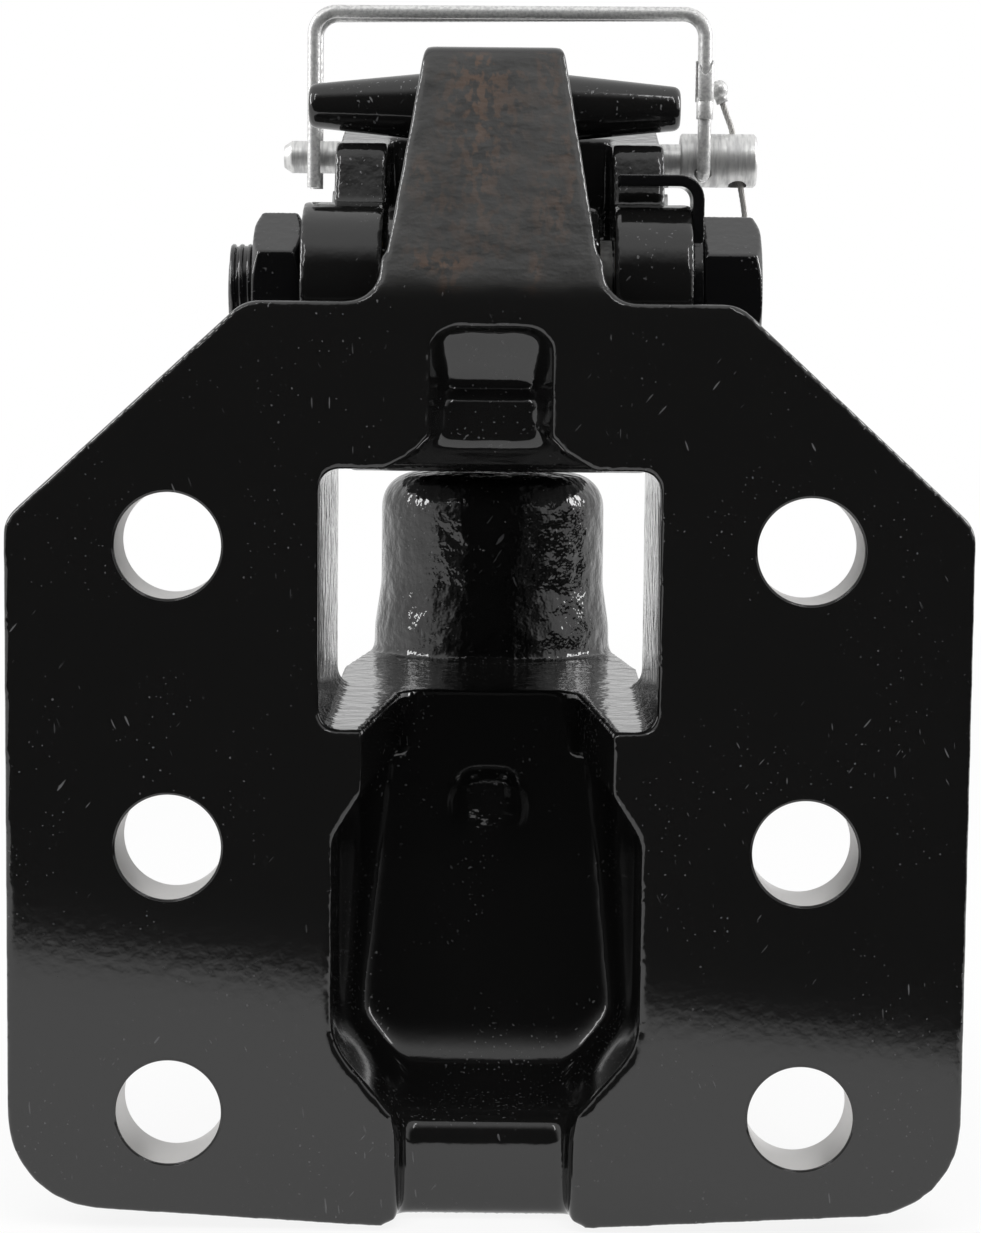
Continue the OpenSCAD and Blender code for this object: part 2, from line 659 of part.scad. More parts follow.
// Lock pin with its drilled head
module lock_pin() {
    length = pin_tip_x + pin_head_x;
    color(zinc) difference() {
        translate([-pin_tip_x, pin_y, pin_z]) rotate([0, 90, 0]) rotate_extrude() polygon([
            [0, 0], [pin_d / 2 - 1.2, 0], [pin_d / 2, 1.8], [pin_d / 2, length],
            [pin_head_d / 2 - 0.4, length], [pin_head_d / 2, length + 0.4],
            [pin_head_d / 2, length + pin_head_len - 0.6],
            [pin_head_d / 2 - 0.6, length + pin_head_len], [0, length + pin_head_len]]);
        translate([bail_right_x, pin_y - pin_head_d, pin_z - bail_hole_drop]) rotate([-90, 0, 0])
            cylinder(d = bail_d + 2 * slide_gap, h = 2 * pin_head_d);
        translate([tether_hole_x, pin_y, pin_z]) rotate([-tether_hole_tilt, 0, 0])
            cylinder(d = tether_hole_d, h = 3 * pin_head_d, center = true);
    }
}

module pin_bail() {
    color(zinc) tube(near_path, bail_d / 2, 8);
}

module bail_strand() {
    color(zinc) tube(far_path, bail_d / 2, 8);
}

// Crimped sleeve round both strands of the right leg, with a collar round the near one
module bail_sleeve() {
    near = [bail_right_x, head_near];
    color(zinc) difference() {
        union() {
            along_z(sleeve_z, sleeve_z + sleeve_len) sleeve_outline(bail_d / 2 + sleeve_wall);
            along_z(collar_z, sleeve_z + over) translate(near) circle(r = bail_d / 2 + sleeve_wall);
        }
        along_z(sleeve_z, sleeve_z + sleeve_len + over) sleeve_outline(bail_d / 2 + slide_gap);
        along_z(collar_z - over, sleeve_z + over) translate(near) circle(r = bail_d / 2 + slide_gap);
    }
}
module sleeve_outline(r) {
    for (y = [head_near, strand_y]) translate([bail_right_x, y]) circle(r = r);
    translate([bail_right_x - r, head_near]) square([2 * r, strand_y - head_near]);
}

module tether_cable() {
    color(zinc) tube(tether_route, tether_d / 2, 8);
}

// Swaged ball with a collar, whose end face meets the cable's
module tether_ball() {
    color(zinc) translate(tether_end) rotate([0, atan2(tether_rise[0], tether_rise[2]), 0]) {
        translate([0, 0, eps]) cylinder(d = collar_d, h = collar_len);
        translate([0, 0, collar_len + tether_ball_d / 2 - 0.5]) sphere(d = tether_ball_d);
    }
}

module tether_ferrule() {
    color(zinc) bar_x([tether_start[1], tether_start[2]], ferrule_d / 2, cheek_right - ferrule_depth,
        tether_start[0] - eps);
}

hook_body();
pivot_bush();
thrust_washer();
upper_jaw();
pivot_bolt();
pivot_nut();
keeper_plate();
lock_lever();
lever_pin();
lever_pin_rings();
lever_spring();
lock_pin();
pin_bail();
bail_strand();
bail_sleeve();
tether_cable();
tether_ball();
tether_ferrule();
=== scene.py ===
"""Dressing of a rigid-mount pintle hook: painted castings, zinc lock pin, wire bail and steel tether."""

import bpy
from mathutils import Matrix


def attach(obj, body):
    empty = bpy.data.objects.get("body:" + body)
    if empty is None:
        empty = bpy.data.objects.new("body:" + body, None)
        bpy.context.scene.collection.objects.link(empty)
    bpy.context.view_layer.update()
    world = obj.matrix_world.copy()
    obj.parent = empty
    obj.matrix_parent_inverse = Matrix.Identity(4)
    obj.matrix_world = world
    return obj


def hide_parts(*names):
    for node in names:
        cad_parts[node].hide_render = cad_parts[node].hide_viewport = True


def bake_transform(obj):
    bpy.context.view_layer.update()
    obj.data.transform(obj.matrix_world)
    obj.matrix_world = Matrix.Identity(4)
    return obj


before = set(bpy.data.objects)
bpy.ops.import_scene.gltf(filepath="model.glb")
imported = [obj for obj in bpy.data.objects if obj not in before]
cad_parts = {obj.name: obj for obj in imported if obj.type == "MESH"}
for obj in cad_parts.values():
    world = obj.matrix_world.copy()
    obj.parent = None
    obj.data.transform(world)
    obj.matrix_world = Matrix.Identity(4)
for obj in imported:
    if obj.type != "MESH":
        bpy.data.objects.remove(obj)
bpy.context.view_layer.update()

import logging
import math
from dataclasses import dataclass
from enum import Enum
from typing import Any, Callable, Iterable, Sequence

import bmesh
import bpy
import numpy as np
from mathutils import Euler, Matrix, Vector

LOG = logging.getLogger("pintle_hook")
MM = 0.001
Colour = tuple[float, float, float, float]


class Rider(Enum):
    """The bodies of the frame that pieces ride on."""

    BODY = "body"
    JAW = "jaw"
    LEVER = "lever"
    PIN = "pin"
    BAIL = "bail"


class Slot(Enum):
    """The material slots of the record."""

    CASTING = "black_casting"
    FASTENER = "black_fastener"
    ZINC = "zinc"
    STEEL = "steel"
    BRONZE = "bush_bronze"


class Mask(Enum):
    """Vertex attributes that steer the casting's paint."""

    BARE = "bare_wall"
    SCALE = "forge_scale"
    GRAIN = "cast_grain"
    RUST = "rust_patches"


class ShaderBoard:
    """Writes the nodes of one material."""

    def __init__(self, name: str) -> None:
        """Make an empty material with a principled shader.

        Args:
            name: Name of the material.
        """
        self.material = bpy.data.materials.new(name)
        self.material.use_nodes = True
        self.nodes = self.material.node_tree.nodes
        self.links = self.material.node_tree.links
        self.shader = self.nodes["Principled BSDF"]
        self.coords = self.add("ShaderNodeTexCoord").outputs["Object"]

    def add(self, kind: str, inputs: dict[Any, Any] | None = None, **settings: Any) -> bpy.types.Node:
        """Add a node and fill or link its inputs.

        Args:
            kind: Blender's name of the node type.
            inputs: Values or output sockets by input name or index.
            settings: Properties of the node itself.

        Returns:
            The new node.
        """
        node = self.nodes.new(kind)
        for key, value in settings.items():
            setattr(node, key, value)
        for key, value in (inputs or {}).items():
            self.put(node, key, value)
        return node

    def put(self, node: bpy.types.Node, key: Any, value: Any) -> None:
        """Set one input of a node to a constant or link it.

        Args:
            node: The node.
            key: Name or index of the input.
            value: A constant, or an output socket.
        """
        if isinstance(value, bpy.types.NodeSocket):
            self.links.new(value, node.inputs[key])
        else:
            node.inputs[key].default_value = value

    def stretched(self, scale: Sequence[float], turn: float = 0.0) -> bpy.types.NodeSocket:
        """Object coordinates turned about Y and then scaled along each axis.

        Args:
            scale: Factor for each axis.
            turn: Angle in degrees.

        Returns:
            The new vector.
        """
        about_y = (0.0, math.radians(turn), 0.0)
        turned = self.add("ShaderNodeMapping", {"Vector": self.coords, "Rotation": about_y}).outputs["Vector"]
        return self.add("ShaderNodeMapping", {"Vector": turned, "Scale": scale}).outputs["Vector"]

    def noise(self, scale: float, detail: float = 2.0,
              vector: bpy.types.NodeSocket | None = None) -> bpy.types.NodeSocket:
        """Cloud noise from 0 to 1.

        Args:
            scale: Features per metre.
            detail: Octaves.
            vector: Coordinates, or None for the object's own.

        Returns:
            The noise value.
        """
        inputs = {"Vector": vector or self.coords, "Scale": scale, "Detail": detail}
        return self.add("ShaderNodeTexNoise", inputs).outputs["Fac"]

    def ramp(self, value: bpy.types.NodeSocket, low: float, high: float, start: float = 0.0,
             end: float = 1.0) -> bpy.types.NodeSocket:
        """Smooth step of a value.

        Args:
            value: The input.
            low: Input at which the step starts.
            high: Input at which the step ends.
            start: Output before the step.
            end: Output after the step.

        Returns:
            The stepped value.
        """
        inputs = {"Value": value, "From Min": low, "From Max": high, "To Min": start, "To Max": end}
        return self.add("ShaderNodeMapRange", inputs, interpolation_type="SMOOTHSTEP").outputs["Result"]

    def times(self, a: Any, b: Any) -> bpy.types.NodeSocket:
        """Product of two values."""
        return self.add("ShaderNodeMath", {0: a, 1: b}, operation="MULTIPLY").outputs[0]

    def most(self, a: Any, b: Any) -> bpy.types.NodeSocket:
        """The larger of two values."""
        return self.add("ShaderNodeMath", {0: a, 1: b}, operation="MAXIMUM").outputs[0]

    def blend(self, factor: Any, a: Any, b: Any) -> bpy.types.NodeSocket:
        """Mix of two numbers."""
        return self.add("ShaderNodeMix", {0: factor, 2: a, 3: b}, data_type="FLOAT").outputs[0]

    def tint(self, factor: Any, a: Any, b: Any) -> bpy.types.NodeSocket:
        """Mix of two colours."""
        return self.add("ShaderNodeMix", {0: factor, 6: a, 7: b}, data_type="RGBA").outputs[2]

    def mask(self, which: Mask) -> bpy.types.NodeSocket:
        """The value of a vertex attribute."""
        return self.add("ShaderNodeAttribute", attribute_name=which.value).outputs["Fac"]

    def bump(self, height: Any, depth: float, strength: Any = 1.0,
             below: bpy.types.NodeSocket | None = None) -> bpy.types.NodeSocket:
        """Surface relief.

        Args:
            height: Height from 0 to 1.
            depth: Relief in metres for a height of 1.
            strength: Share of the relief that is used.
            below: Normal of the relief under this one.

        Returns:
            The bumped normal.
        """
        inputs = {"Height": height, "Distance": depth, "Strength": strength}
        if below is not None:
            inputs["Normal"] = below
        return self.add("ShaderNodeBump", inputs).outputs["Normal"]

    def finish(self, colour: Any, roughness: Any, metallic: Any, normal: bpy.types.NodeSocket | None,
               sheen: float = 0.5) -> bpy.types.Material:
        """Fill the principled shader.

        Args:
            colour: Base colour.
            roughness: Roughness.
            metallic: Metallic share.
            normal: Bumped normal or None.
            sheen: Strength of the clear reflection, 0.5 being that of plain varnish.

        Returns:
            The finished material.
        """
        self.put(self.shader, "Base Color", colour)
        self.put(self.shader, "Roughness", roughness)
        self.put(self.shader, "Metallic", metallic)
        self.put(self.shader, "Specular IOR Level", sheen)
        if normal is not None:
            self.put(self.shader, "Normal", normal)
        return self.material


@dataclass(frozen=True)
class CastPaint:
    """Gloss black paint on a casting, with bare hole walls and a scaly tower face where the masks say so."""

    name: str = "cast_black_paint"
    paint: Colour = (0.0068, 0.0067, 0.0066, 1.0)
    dust: Colour = (0.16, 0.16, 0.165, 1.0)
    scale: Colour = (0.014, 0.014, 0.0135, 1.0)
    hazy: Colour = (0.026, 0.0255, 0.0245, 1.0)
    rust: Colour = (0.075, 0.04, 0.022, 1.0)
    steel: Colour = (0.62, 0.61, 0.6, 1.0)
    gloss: float = 0.09
    sheen: float = 0.72

    def marks(self, b: ShaderBoard) -> bpy.types.NodeSocket:
        """Specks and short hair scratches in the paint.

        Args:
            b: The board they are written on.

        Returns:
            1 on a mark and 0 elsewhere.
        """
        marks = b.times(b.ramp(b.noise(1500.0, 0.0), 0.765, 0.81), b.ramp(b.noise(42.0, 2.0), 0.46, 0.6))
        for turn, patch in ((24.0, 35.0), (-38.0, 29.0), (4.0, 24.0)):
            hairs = b.ramp(b.noise(1500.0, 0.0, b.stretched((1.0, 1.0, 0.14), turn)), 0.8, 0.83)
            marks = b.most(marks, b.times(hairs, b.ramp(b.noise(patch, 2.0), 0.54, 0.64)))
        return marks

    def material(self) -> bpy.types.Material:
        """Build the node material."""
        b = ShaderBoard(self.name)
        bare, scale, grain = b.mask(Mask.BARE), b.mask(Mask.SCALE), b.mask(Mask.GRAIN)
        marks = self.marks(b)
        coat = b.tint(b.times(marks, 0.55), self.paint, self.dust)
        strays = b.ramp(b.noise(44.0, 3.0, b.stretched((1.7, 1.0, 0.45))), 0.56, 0.66)
        patches = b.most(b.mask(Mask.RUST), b.times(strays, 0.5))
        flecks = b.times(b.ramp(b.noise(620.0, 4.0, b.stretched((1.0, 1.0, 0.6))), 0.45, 0.57), patches)
        haze = b.ramp(b.noise(95.0, 4.0, b.stretched((1.0, 1.0, 2.2))), 0.3, 0.7)
        face = b.tint(b.times(flecks, 0.8), b.tint(haze, self.scale, self.hazy), self.rust)
        colour = b.tint(bare, b.tint(scale, coat, face), self.steel)
        rough = b.blend(scale, b.blend(marks, self.gloss, 0.45), b.blend(haze, 0.4, 0.48))
        relief = b.bump(b.noise(420.0, 2.0), 0.00015, 0.12)
        relief = b.bump(b.noise(190.0, 3.0), 0.0016, b.blend(grain, 0.0, 0.6), relief)
        relief = b.bump(b.noise(480.0, 3.0), 0.0003, b.blend(scale, 0.0, 0.4), relief)
        waves = b.noise(130.0, 3.0, b.stretched((0.8, 1.0, 1.9)))
        relief = b.bump(waves, 0.0009, b.blend(scale, 0.0, 0.35), relief)
        return b.finish(colour, b.blend(bare, rough, 0.42), b.times(bare, 0.8), relief, self.sheen)


@dataclass(frozen=True)
class FastenerPaint:
    """Gloss black paint on forged fasteners."""

    name: str = "fastener_black_paint"
    paint: Colour = (0.004, 0.004, 0.0043, 1.0)
    dust: Colour = (0.12, 0.12, 0.125, 1.0)
    gloss: float = 0.12
    sheen: float = 0.72

    def material(self) -> bpy.types.Material:
        """Build the node material."""
        b = ShaderBoard(self.name)
        specks = b.times(b.ramp(b.noise(1500.0, 0.0), 0.77, 0.82), b.ramp(b.noise(80.0, 1.0), 0.5, 0.62))
        colour = b.tint(b.times(specks, 0.5), self.paint, self.dust)
        relief = b.bump(b.noise(600.0, 2.0), 0.0002, 0.3)
        return b.finish(colour, b.blend(specks, self.gloss, 0.4), 0.0, relief, self.sheen)


@dataclass(frozen=True)
class ZincPlate:
    """Bright zinc plating, whose grain may be drawn out along the tool's path."""

    name: str
    drawn: tuple[float, float, float] = (1.0, 1.0, 1.0)
    light: Colour = (0.74, 0.74, 0.73, 1.0)
    dull: Colour = (0.52, 0.52, 0.52, 1.0)
    metal: float = 0.62
    rough: float = 0.32

    def material(self) -> bpy.types.Material:
        """Build the node material."""
        b = ShaderBoard(self.name)
        along = b.stretched(self.drawn)
        cloud = b.ramp(b.noise(1300.0, 3.0, along), 0.38, 0.68)
        relief = b.bump(b.noise(1700.0, 3.0, along), 0.0002, 0.25)
        rough = b.blend(cloud, self.rough, self.rough + 0.12)
        return b.finish(b.tint(cloud, self.light, self.dull), rough, self.metal, relief)


@dataclass(frozen=True)
class BareMetal:
    """Plain machined metal with fine turning marks."""

    name: str
    colour: Colour
    worn: Colour
    rough: float = 0.32
    drawn: tuple[float, float, float] = (3.0, 0.3, 0.3)
    metal: float = 1.0

    def material(self) -> bpy.types.Material:
        """Build the node material."""
        b = ShaderBoard(self.name)
        turning = b.noise(900.0, 2.0, b.stretched(self.drawn))
        rough = b.blend(turning, self.rough, self.rough + 0.12)
        relief = b.bump(turning, 0.00008, 0.4)
        return b.finish(b.tint(turning, self.colour, self.worn), rough, self.metal, relief)


def link(name: str, mesh: bpy.types.Mesh) -> bpy.types.Object:
    """Put a mesh into the scene as an object at the origin.

    Args:
        name: Name of the object.
        mesh: Its mesh.

    Returns:
        The object.
    """
    obj = bpy.data.objects.new(name, mesh)
    bpy.context.scene.collection.objects.link(obj)
    return obj


def settle(obj: bpy.types.Object) -> bpy.types.Object:
    """Replace a mesh or curve object by one with its modifiers applied.

    Args:
        obj: The object with live modifiers, or a curve.

    Returns:
        A mesh object of the same name.
    """
    bpy.context.view_layer.update()
    mesh = bpy.data.meshes.new_from_object(obj.evaluated_get(bpy.context.evaluated_depsgraph_get()))
    name = obj.name
    bpy.data.objects.remove(obj)
    mesh.name = name
    mesh.shade_smooth()
    return link(name, mesh)


def dress(obj: bpy.types.Object, material: bpy.types.Material, rider: Rider | None,
          nodes: Iterable[str] = ()) -> bpy.types.Object:
    """Give a new piece its material, body and the CAD nodes it stands for.

    Args:
        obj: The piece.
        material: Its finish.
        rider: The body it moves with, or None for a piece that is not attached to any body.
        nodes: CAD nodes that it replaces.

    Returns:
        The piece.
    """
    obj.data.materials.clear()
    obj.data.materials.append(material)
    if rider is not None:
        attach(obj, rider.value)
    for node in nodes:
        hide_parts(node)
    LOG.info("%s: %d faces on %s", obj.name, len(obj.data.polygons), rider.value if rider else "two bodies")
    return obj


def keep_node(node: str, material: bpy.types.Material) -> None:
    """Dress a CAD node that stays as it is.

    Args:
        node: Name of the node.
        material: Its finish.
    """
    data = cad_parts[node].data
    data.materials.clear()
    data.materials.append(material)
    LOG.info("%s: CAD node", node)


@dataclass
class SoftCopy:
    """A copy of a CAD node with the rounded edges of a casting or forging."""

    node: str
    name: str
    voxel: float
    passes: int
    most_triangles: int = 170000
    fill: Callable[[bmesh.types.BMesh], None] | None = None
    soft: Callable[[np.ndarray], np.ndarray] | None = None
    soft_passes: int = 200
    off_grid: tuple[float, float, float] = (0.31, 0.43, 0.57)

    def soften(self, obj: bpy.types.Object) -> None:
        """Smooth the whole piece, and more where its soft places are.

        Args:
            obj: The remeshed piece.
        """
        smooth = obj.modifiers.new("rounding", "SMOOTH")
        smooth.factor = 0.5
        smooth.iterations = self.passes
        if self.soft is None:
            return
        levels = np.round(4 * self.soft(points_and_normals(obj)[0])) / 4
        group = obj.vertex_groups.new(name="soft")
        for level in (0.25, 0.5, 0.75, 1.0):
            group.add(np.flatnonzero(levels == level).tolist(), level, "REPLACE")
        more = obj.modifiers.new("fillets", "SMOOTH")
        more.factor = 0.5
        more.iterations = self.soft_passes
        more.vertex_group = group.name

    def build(self) -> bpy.types.Object:
        """Remesh, smooth and thin the node's mesh, turned so that no edge runs along the grid of voxels.

        Returns:
            The new object.
        """
        turn = Euler(self.off_grid).to_matrix().to_4x4()
        bm = bmesh.new()
        bm.from_mesh(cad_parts[self.node].data)
        bmesh.ops.remove_doubles(bm, verts=bm.verts, dist=1e-6)
        if self.fill is not None:
            self.fill(bm)
        bmesh.ops.transform(bm, matrix=turn, verts=bm.verts)
        mesh = bpy.data.meshes.new(self.name)
        bm.to_mesh(mesh)
        bm.free()
        obj = link(self.name, mesh)
        remesh = obj.modifiers.new("voxels", "REMESH")
        remesh.mode = "VOXEL"
        remesh.voxel_size = self.voxel
        obj = settle(obj)
        obj.data.transform(turn.inverted())
        self.soften(obj)
        obj = settle(obj)
        obj.vertex_groups.clear()
        triangles = 2 * len(obj.data.polygons)
        if triangles > self.most_triangles:
            thin = obj.modifiers.new("thin", "DECIMATE")
            thin.ratio = self.most_triangles / triangles
            obj = settle(obj)
        return obj


def paint_mask(obj: bpy.types.Object, mask: Mask, values: np.ndarray, domain: str = "POINT") -> None:
    """Store an attribute of the paint.

    Args:
        obj: The piece.
        mask: Which attribute.
        values: One value per vertex or face.
        domain: POINT for vertices, FACE for faces.
    """
    attribute = obj.data.attributes.new(mask.value, "FLOAT", domain)
    attribute.data.foreach_set("value", values.astype(np.float32))


def points_and_normals(obj: bpy.types.Object) -> tuple[np.ndarray, np.ndarray]:
    """Vertex positions in millimetres and vertex normals.

    Args:
        obj: The piece.

    Returns:
        Two arrays with one row per vertex.
    """
    count = len(obj.data.vertices)
    points, normals = np.zeros(count * 3, np.float32), np.zeros(count * 3, np.float32)
    obj.data.vertices.foreach_get("co", points)
    obj.data.vertex_normals.foreach_get("vector", normals)
    return points.reshape(-1, 3) / MM, normals.reshape(-1, 3)


def step(values: np.ndarray, low: float, high: float) -> np.ndarray:
    """Smooth step of an array from 0 at low to 1 at high."""
    t = np.clip((values - low) / (high - low), 0.0, 1.0)
    return t * t * (3.0 - 2.0 * t)


def above(values: np.ndarray, limit: float, fade: float) -> np.ndarray:
    """1 well above a limit and 0 below it."""
    return step(values, limit, limit + fade)


def below(values: np.ndarray, limit: float, fade: float) -> np.ndarray:
    """1 well below a limit and 0 above it."""
    return step(-values, -limit, fade - limit)


def wire(name: str, routes: Iterable[Sequence[Sequence[float]]], radius: float,
         sides: int = 3) -> bpy.types.Object:
    """A round wire, or several, along points in millimetres.

    Args:
        name: Name of the piece.
        routes: The centrelines.
        radius: Wire radius in millimetres.
        sides: Blender's bevel resolution.

    Returns:
        The mesh object.
    """
    curve = bpy.data.curves.new(name, "CURVE")
    curve.dimensions = "3D"
    curve.bevel_depth = radius * MM
    curve.bevel_resolution = sides
    curve.use_fill_caps = True
    for route in routes:
        spline = curve.splines.new("POLY")
        spline.points.add(len(route) - 1)
        for point, at in zip(spline.points, route):
            point.co = (at[0] * MM, at[1] * MM, at[2] * MM, 1.0)
    obj = bpy.data.objects.new(name, curve)
    bpy.context.scene.collection.objects.link(obj)
    return settle(obj)


def turned(name: str, profile: Sequence[tuple[float, float]], at: Sequence[float], along: Sequence[float],
           edge: float = 0.0) -> bpy.types.Object:
    """A piece turned on a lathe.

    Args:
        name: Name of the piece.
        profile: Distance along the axis and radius of each corner, in millimetres.
        at: Start of the axis in millimetres.
        along: Direction of the axis.
        edge: Rounding of the edges in millimetres.

    Returns:
        The mesh object.
    """
    bm = bmesh.new()
    verts = [bm.verts.new((r * MM, 0.0, run * MM)) for run, r in profile]
    edges = [bm.edges.new(pair) for pair in zip(verts, verts[1:])]
    bmesh.ops.spin(bm, geom=verts + edges, cent=(0.0, 0.0, 0.0), axis=(0.0, 0.0, 1.0), angle=2 * math.pi,
                   steps=72, use_merge=True)
    bmesh.ops.remove_doubles(bm, verts=bm.verts, dist=1e-7)
    bmesh.ops.recalc_face_normals(bm, faces=bm.faces)
    place = Matrix.Translation(Vector(at) * MM) @ Vector(along).to_track_quat("Z", "Y").to_matrix().to_4x4()
    bmesh.ops.transform(bm, matrix=place, verts=bm.verts)
    if edge > 0.0:
        sharp = [e for e in bm.edges if len(e.link_faces) == 2 and e.calc_face_angle() > math.radians(25)]
        bmesh.ops.bevel(bm, geom=sharp, offset=edge * MM, offset_type="OFFSET", affect="EDGES", segments=2,
                        profile=0.5, material=-1)
    mesh = bpy.data.meshes.new(name)
    bm.to_mesh(mesh)
    bm.free()
    mesh.shade_smooth()
    return link(name, mesh)


def bored(obj: bpy.types.Object, drills: Iterable[bpy.types.Object]) -> bpy.types.Object:
    """Cut drills out of a piece and remove them.

    Args:
        obj: The piece.
        drills: The tools.

    Returns:
        The bored piece.
    """
    tools = list(drills)
    for drill in tools:
        cutter = obj.modifiers.new(drill.name, "BOOLEAN")
        cutter.operation = "DIFFERENCE"
        cutter.solver = "EXACT"
        cutter.object = drill
    obj = settle(obj)
    for drill in tools:
        bpy.data.objects.remove(drill)
    obj.data.set_sharp_from_angle(angle=math.radians(32))
    return obj


def smooth_route(points: Sequence[Sequence[float]], per_span: int) -> list[Vector]:
    """A smooth curve through points.

    Args:
        points: The points.
        per_span: Steps between two points.

    Returns:
        Points of a Catmull-Rom curve.
    """
    p = [Vector(q) for q in points]
    p = [2 * p[0] - p[1]] + p + [2 * p[-1] - p[-2]]
    route = []
    for i in range(1, len(p) - 2):
        for k in range(per_span):
            t = k / per_span
            route.append(0.5 * (2 * p[i] + (p[i + 1] - p[i - 1]) * t
                                + (2 * p[i - 1] - 5 * p[i] + 4 * p[i + 1] - p[i + 2]) * t ** 2
                                + (3 * p[i] - p[i - 1] - 3 * p[i + 1] + p[i + 2]) * t ** 3))
    return route + [p[-2]]


def coil(axis: tuple[float, float], r: float, start_x: float, pitch: float, count: int, steps: int,
         start: float = 0.0) -> list[tuple[float, float, float]]:
    """Points of a helix about an axis along X.

    Args:
        axis: Depth and height of the axis.
        r: Radius of the helix.
        start_x: Where it starts along the axis.
        pitch: Advance in one turn.
        count: Number of points.
        steps: Points in one turn.
        start: Angle of the first point, in degrees.

    Returns:
        The points.
    """
    route = []
    for i in range(count):
        a = math.radians(start + 360.0 * i / steps)
        route.append((start_x + pitch * i / steps, axis[0] + r * math.cos(a), axis[1] + r * math.sin(a)))
    return route


@dataclass
class Studio:
    """Camera, pale floor, soft lamps and white surroundings. Sizes are in metres, angles in degrees."""

    camera_at: tuple[float, float, float] = (0.00328, -0.6155, 0.10842)
    pitch: float = 6.0
    yaw: float = 0.27
    roll: float = 0.54
    lens_px: float = 3132.9
    frame_px: float = 1233.0
    sensor: float = 36.0
    floor_z: float = -0.0812
    floor_front: float = -0.208
    floor_slant: float = 0.445
    floor_fade: float = 0.04
    floor_half: float = 9.0
    dark: float = 0.012
    pale: float = 0.85
    dark_to: float = -0.8
    pale_from: float = -0.4
    room_light: float = 0.45
    lamps_aim: tuple[float, float, float] = (0.0, 0.06, 0.06)

    def camera(self) -> None:
        """Set up the camera at the photograph's viewing angle."""
        turn = (Matrix.Rotation(math.radians(self.roll), 3, "Z")
                @ Matrix.Rotation(math.radians(self.pitch), 3, "X")
                @ Matrix.Rotation(math.radians(self.yaw), 3, "Y"))
        right, down, ahead = (Vector((row[0], row[2], -row[1])) for row in turn)
        data = bpy.data.cameras.new("camera")
        data.sensor_fit = "VERTICAL"
        data.sensor_height = self.sensor
        data.lens = self.lens_px * self.sensor / self.frame_px
        data.clip_start = 0.01
        camera = bpy.data.objects.new("camera", data)
        axes = Matrix((right, -down, -ahead)).transposed().to_4x4()
        camera.matrix_world = Matrix.Translation(self.camera_at) @ axes
        bpy.context.scene.collection.objects.link(camera)
        bpy.context.scene.camera = camera

    def floor(self) -> None:
        """Lay the pale floor, which keeps the shadow."""
        bm = bmesh.new()
        half = self.floor_half
        corners = [bm.verts.new((x, y, self.floor_z)) for x, y in
                   ((-half, -half), (half, -half), (half, half), (-half, half))]
        bm.faces.new(corners)
        mesh = bpy.data.meshes.new("floor")
        bm.to_mesh(mesh)
        bm.free()
        floor = link("floor", mesh)
        b = ShaderBoard("pale_floor")
        b.finish((0.86, 0.86, 0.86, 1.0), 0.6, 0.0, None)
        path = b.add("ShaderNodeLightPath")
        mirrored = path.outputs["Is Glossy Ray"]
        seen = b.most(b.most(path.outputs["Is Camera Ray"], mirrored), path.outputs["Is Transmission Ray"])
        axes = b.add("ShaderNodeSeparateXYZ", {0: b.coords})
        away = axes.outputs["Y"]
        slant = b.times(axes.outputs["X"], self.floor_slant)
        edge = b.add("ShaderNodeMath", {0: away, 1: slant}, operation="SUBTRACT").outputs[0]
        front = self.floor_front + self.floor_fade / 2
        unlit = b.times(mirrored, b.ramp(edge, front, front - self.floor_fade))
        level = b.blend(unlit, 1.0, self.dark)
        glow = b.add("ShaderNodeEmission", {"Color": (1.0, 1.0, 1.0, 1.0), "Strength": level})
        reach = b.add("ShaderNodeMath", {0: away}, operation="ABSOLUTE").outputs[0]
        share = b.times(seen, b.most(b.ramp(reach, 0.3, 1.2, 0.88, 1.0), unlit))
        shaders = {0: share, 1: b.shader.outputs["BSDF"], 2: glow.outputs["Emission"]}
        mixed = b.add("ShaderNodeMixShader", shaders)
        b.links.new(mixed.outputs["Shader"], b.nodes["Material Output"].inputs["Surface"])
        floor.data.materials.append(b.material)

    def surroundings(self) -> None:
        """White surroundings with a dark patch behind the camera, as in a studio."""
        world = bpy.data.worlds.new("surroundings")
        bpy.context.scene.world = world
        world.use_nodes = True
        nodes, links = world.node_tree.nodes, world.node_tree.links
        path = nodes.new("ShaderNodeLightPath")
        coords = nodes.new("ShaderNodeTexCoord")
        axes = nodes.new("ShaderNodeSeparateXYZ")
        links.new(coords.outputs["Generated"], axes.inputs[0])
        patch = nodes.new("ShaderNodeMapRange")
        patch.interpolation_type = "SMOOTHSTEP"
        links.new(axes.outputs["Y"], patch.inputs["Value"])
        for key, value in (("From Min", self.dark_to), ("From Max", self.pale_from), ("To Min", self.dark),
                           ("To Max", self.pale)):
            patch.inputs[key].default_value = value
        plain = nodes.new("ShaderNodeMix")
        links.new(path.outputs["Is Glossy Ray"], plain.inputs[0])
        plain.inputs[2].default_value = self.room_light
        links.new(patch.outputs["Result"], plain.inputs[3])
        white = nodes.new("ShaderNodeMix")
        links.new(path.outputs["Is Camera Ray"], white.inputs[0])
        links.new(plain.outputs[0], white.inputs[2])
        white.inputs[3].default_value = 1.0
        links.new(white.outputs[0], nodes["Background"].inputs["Strength"])
        nodes["Background"].inputs["Color"].default_value = (1.0, 1.0, 1.0, 1.0)

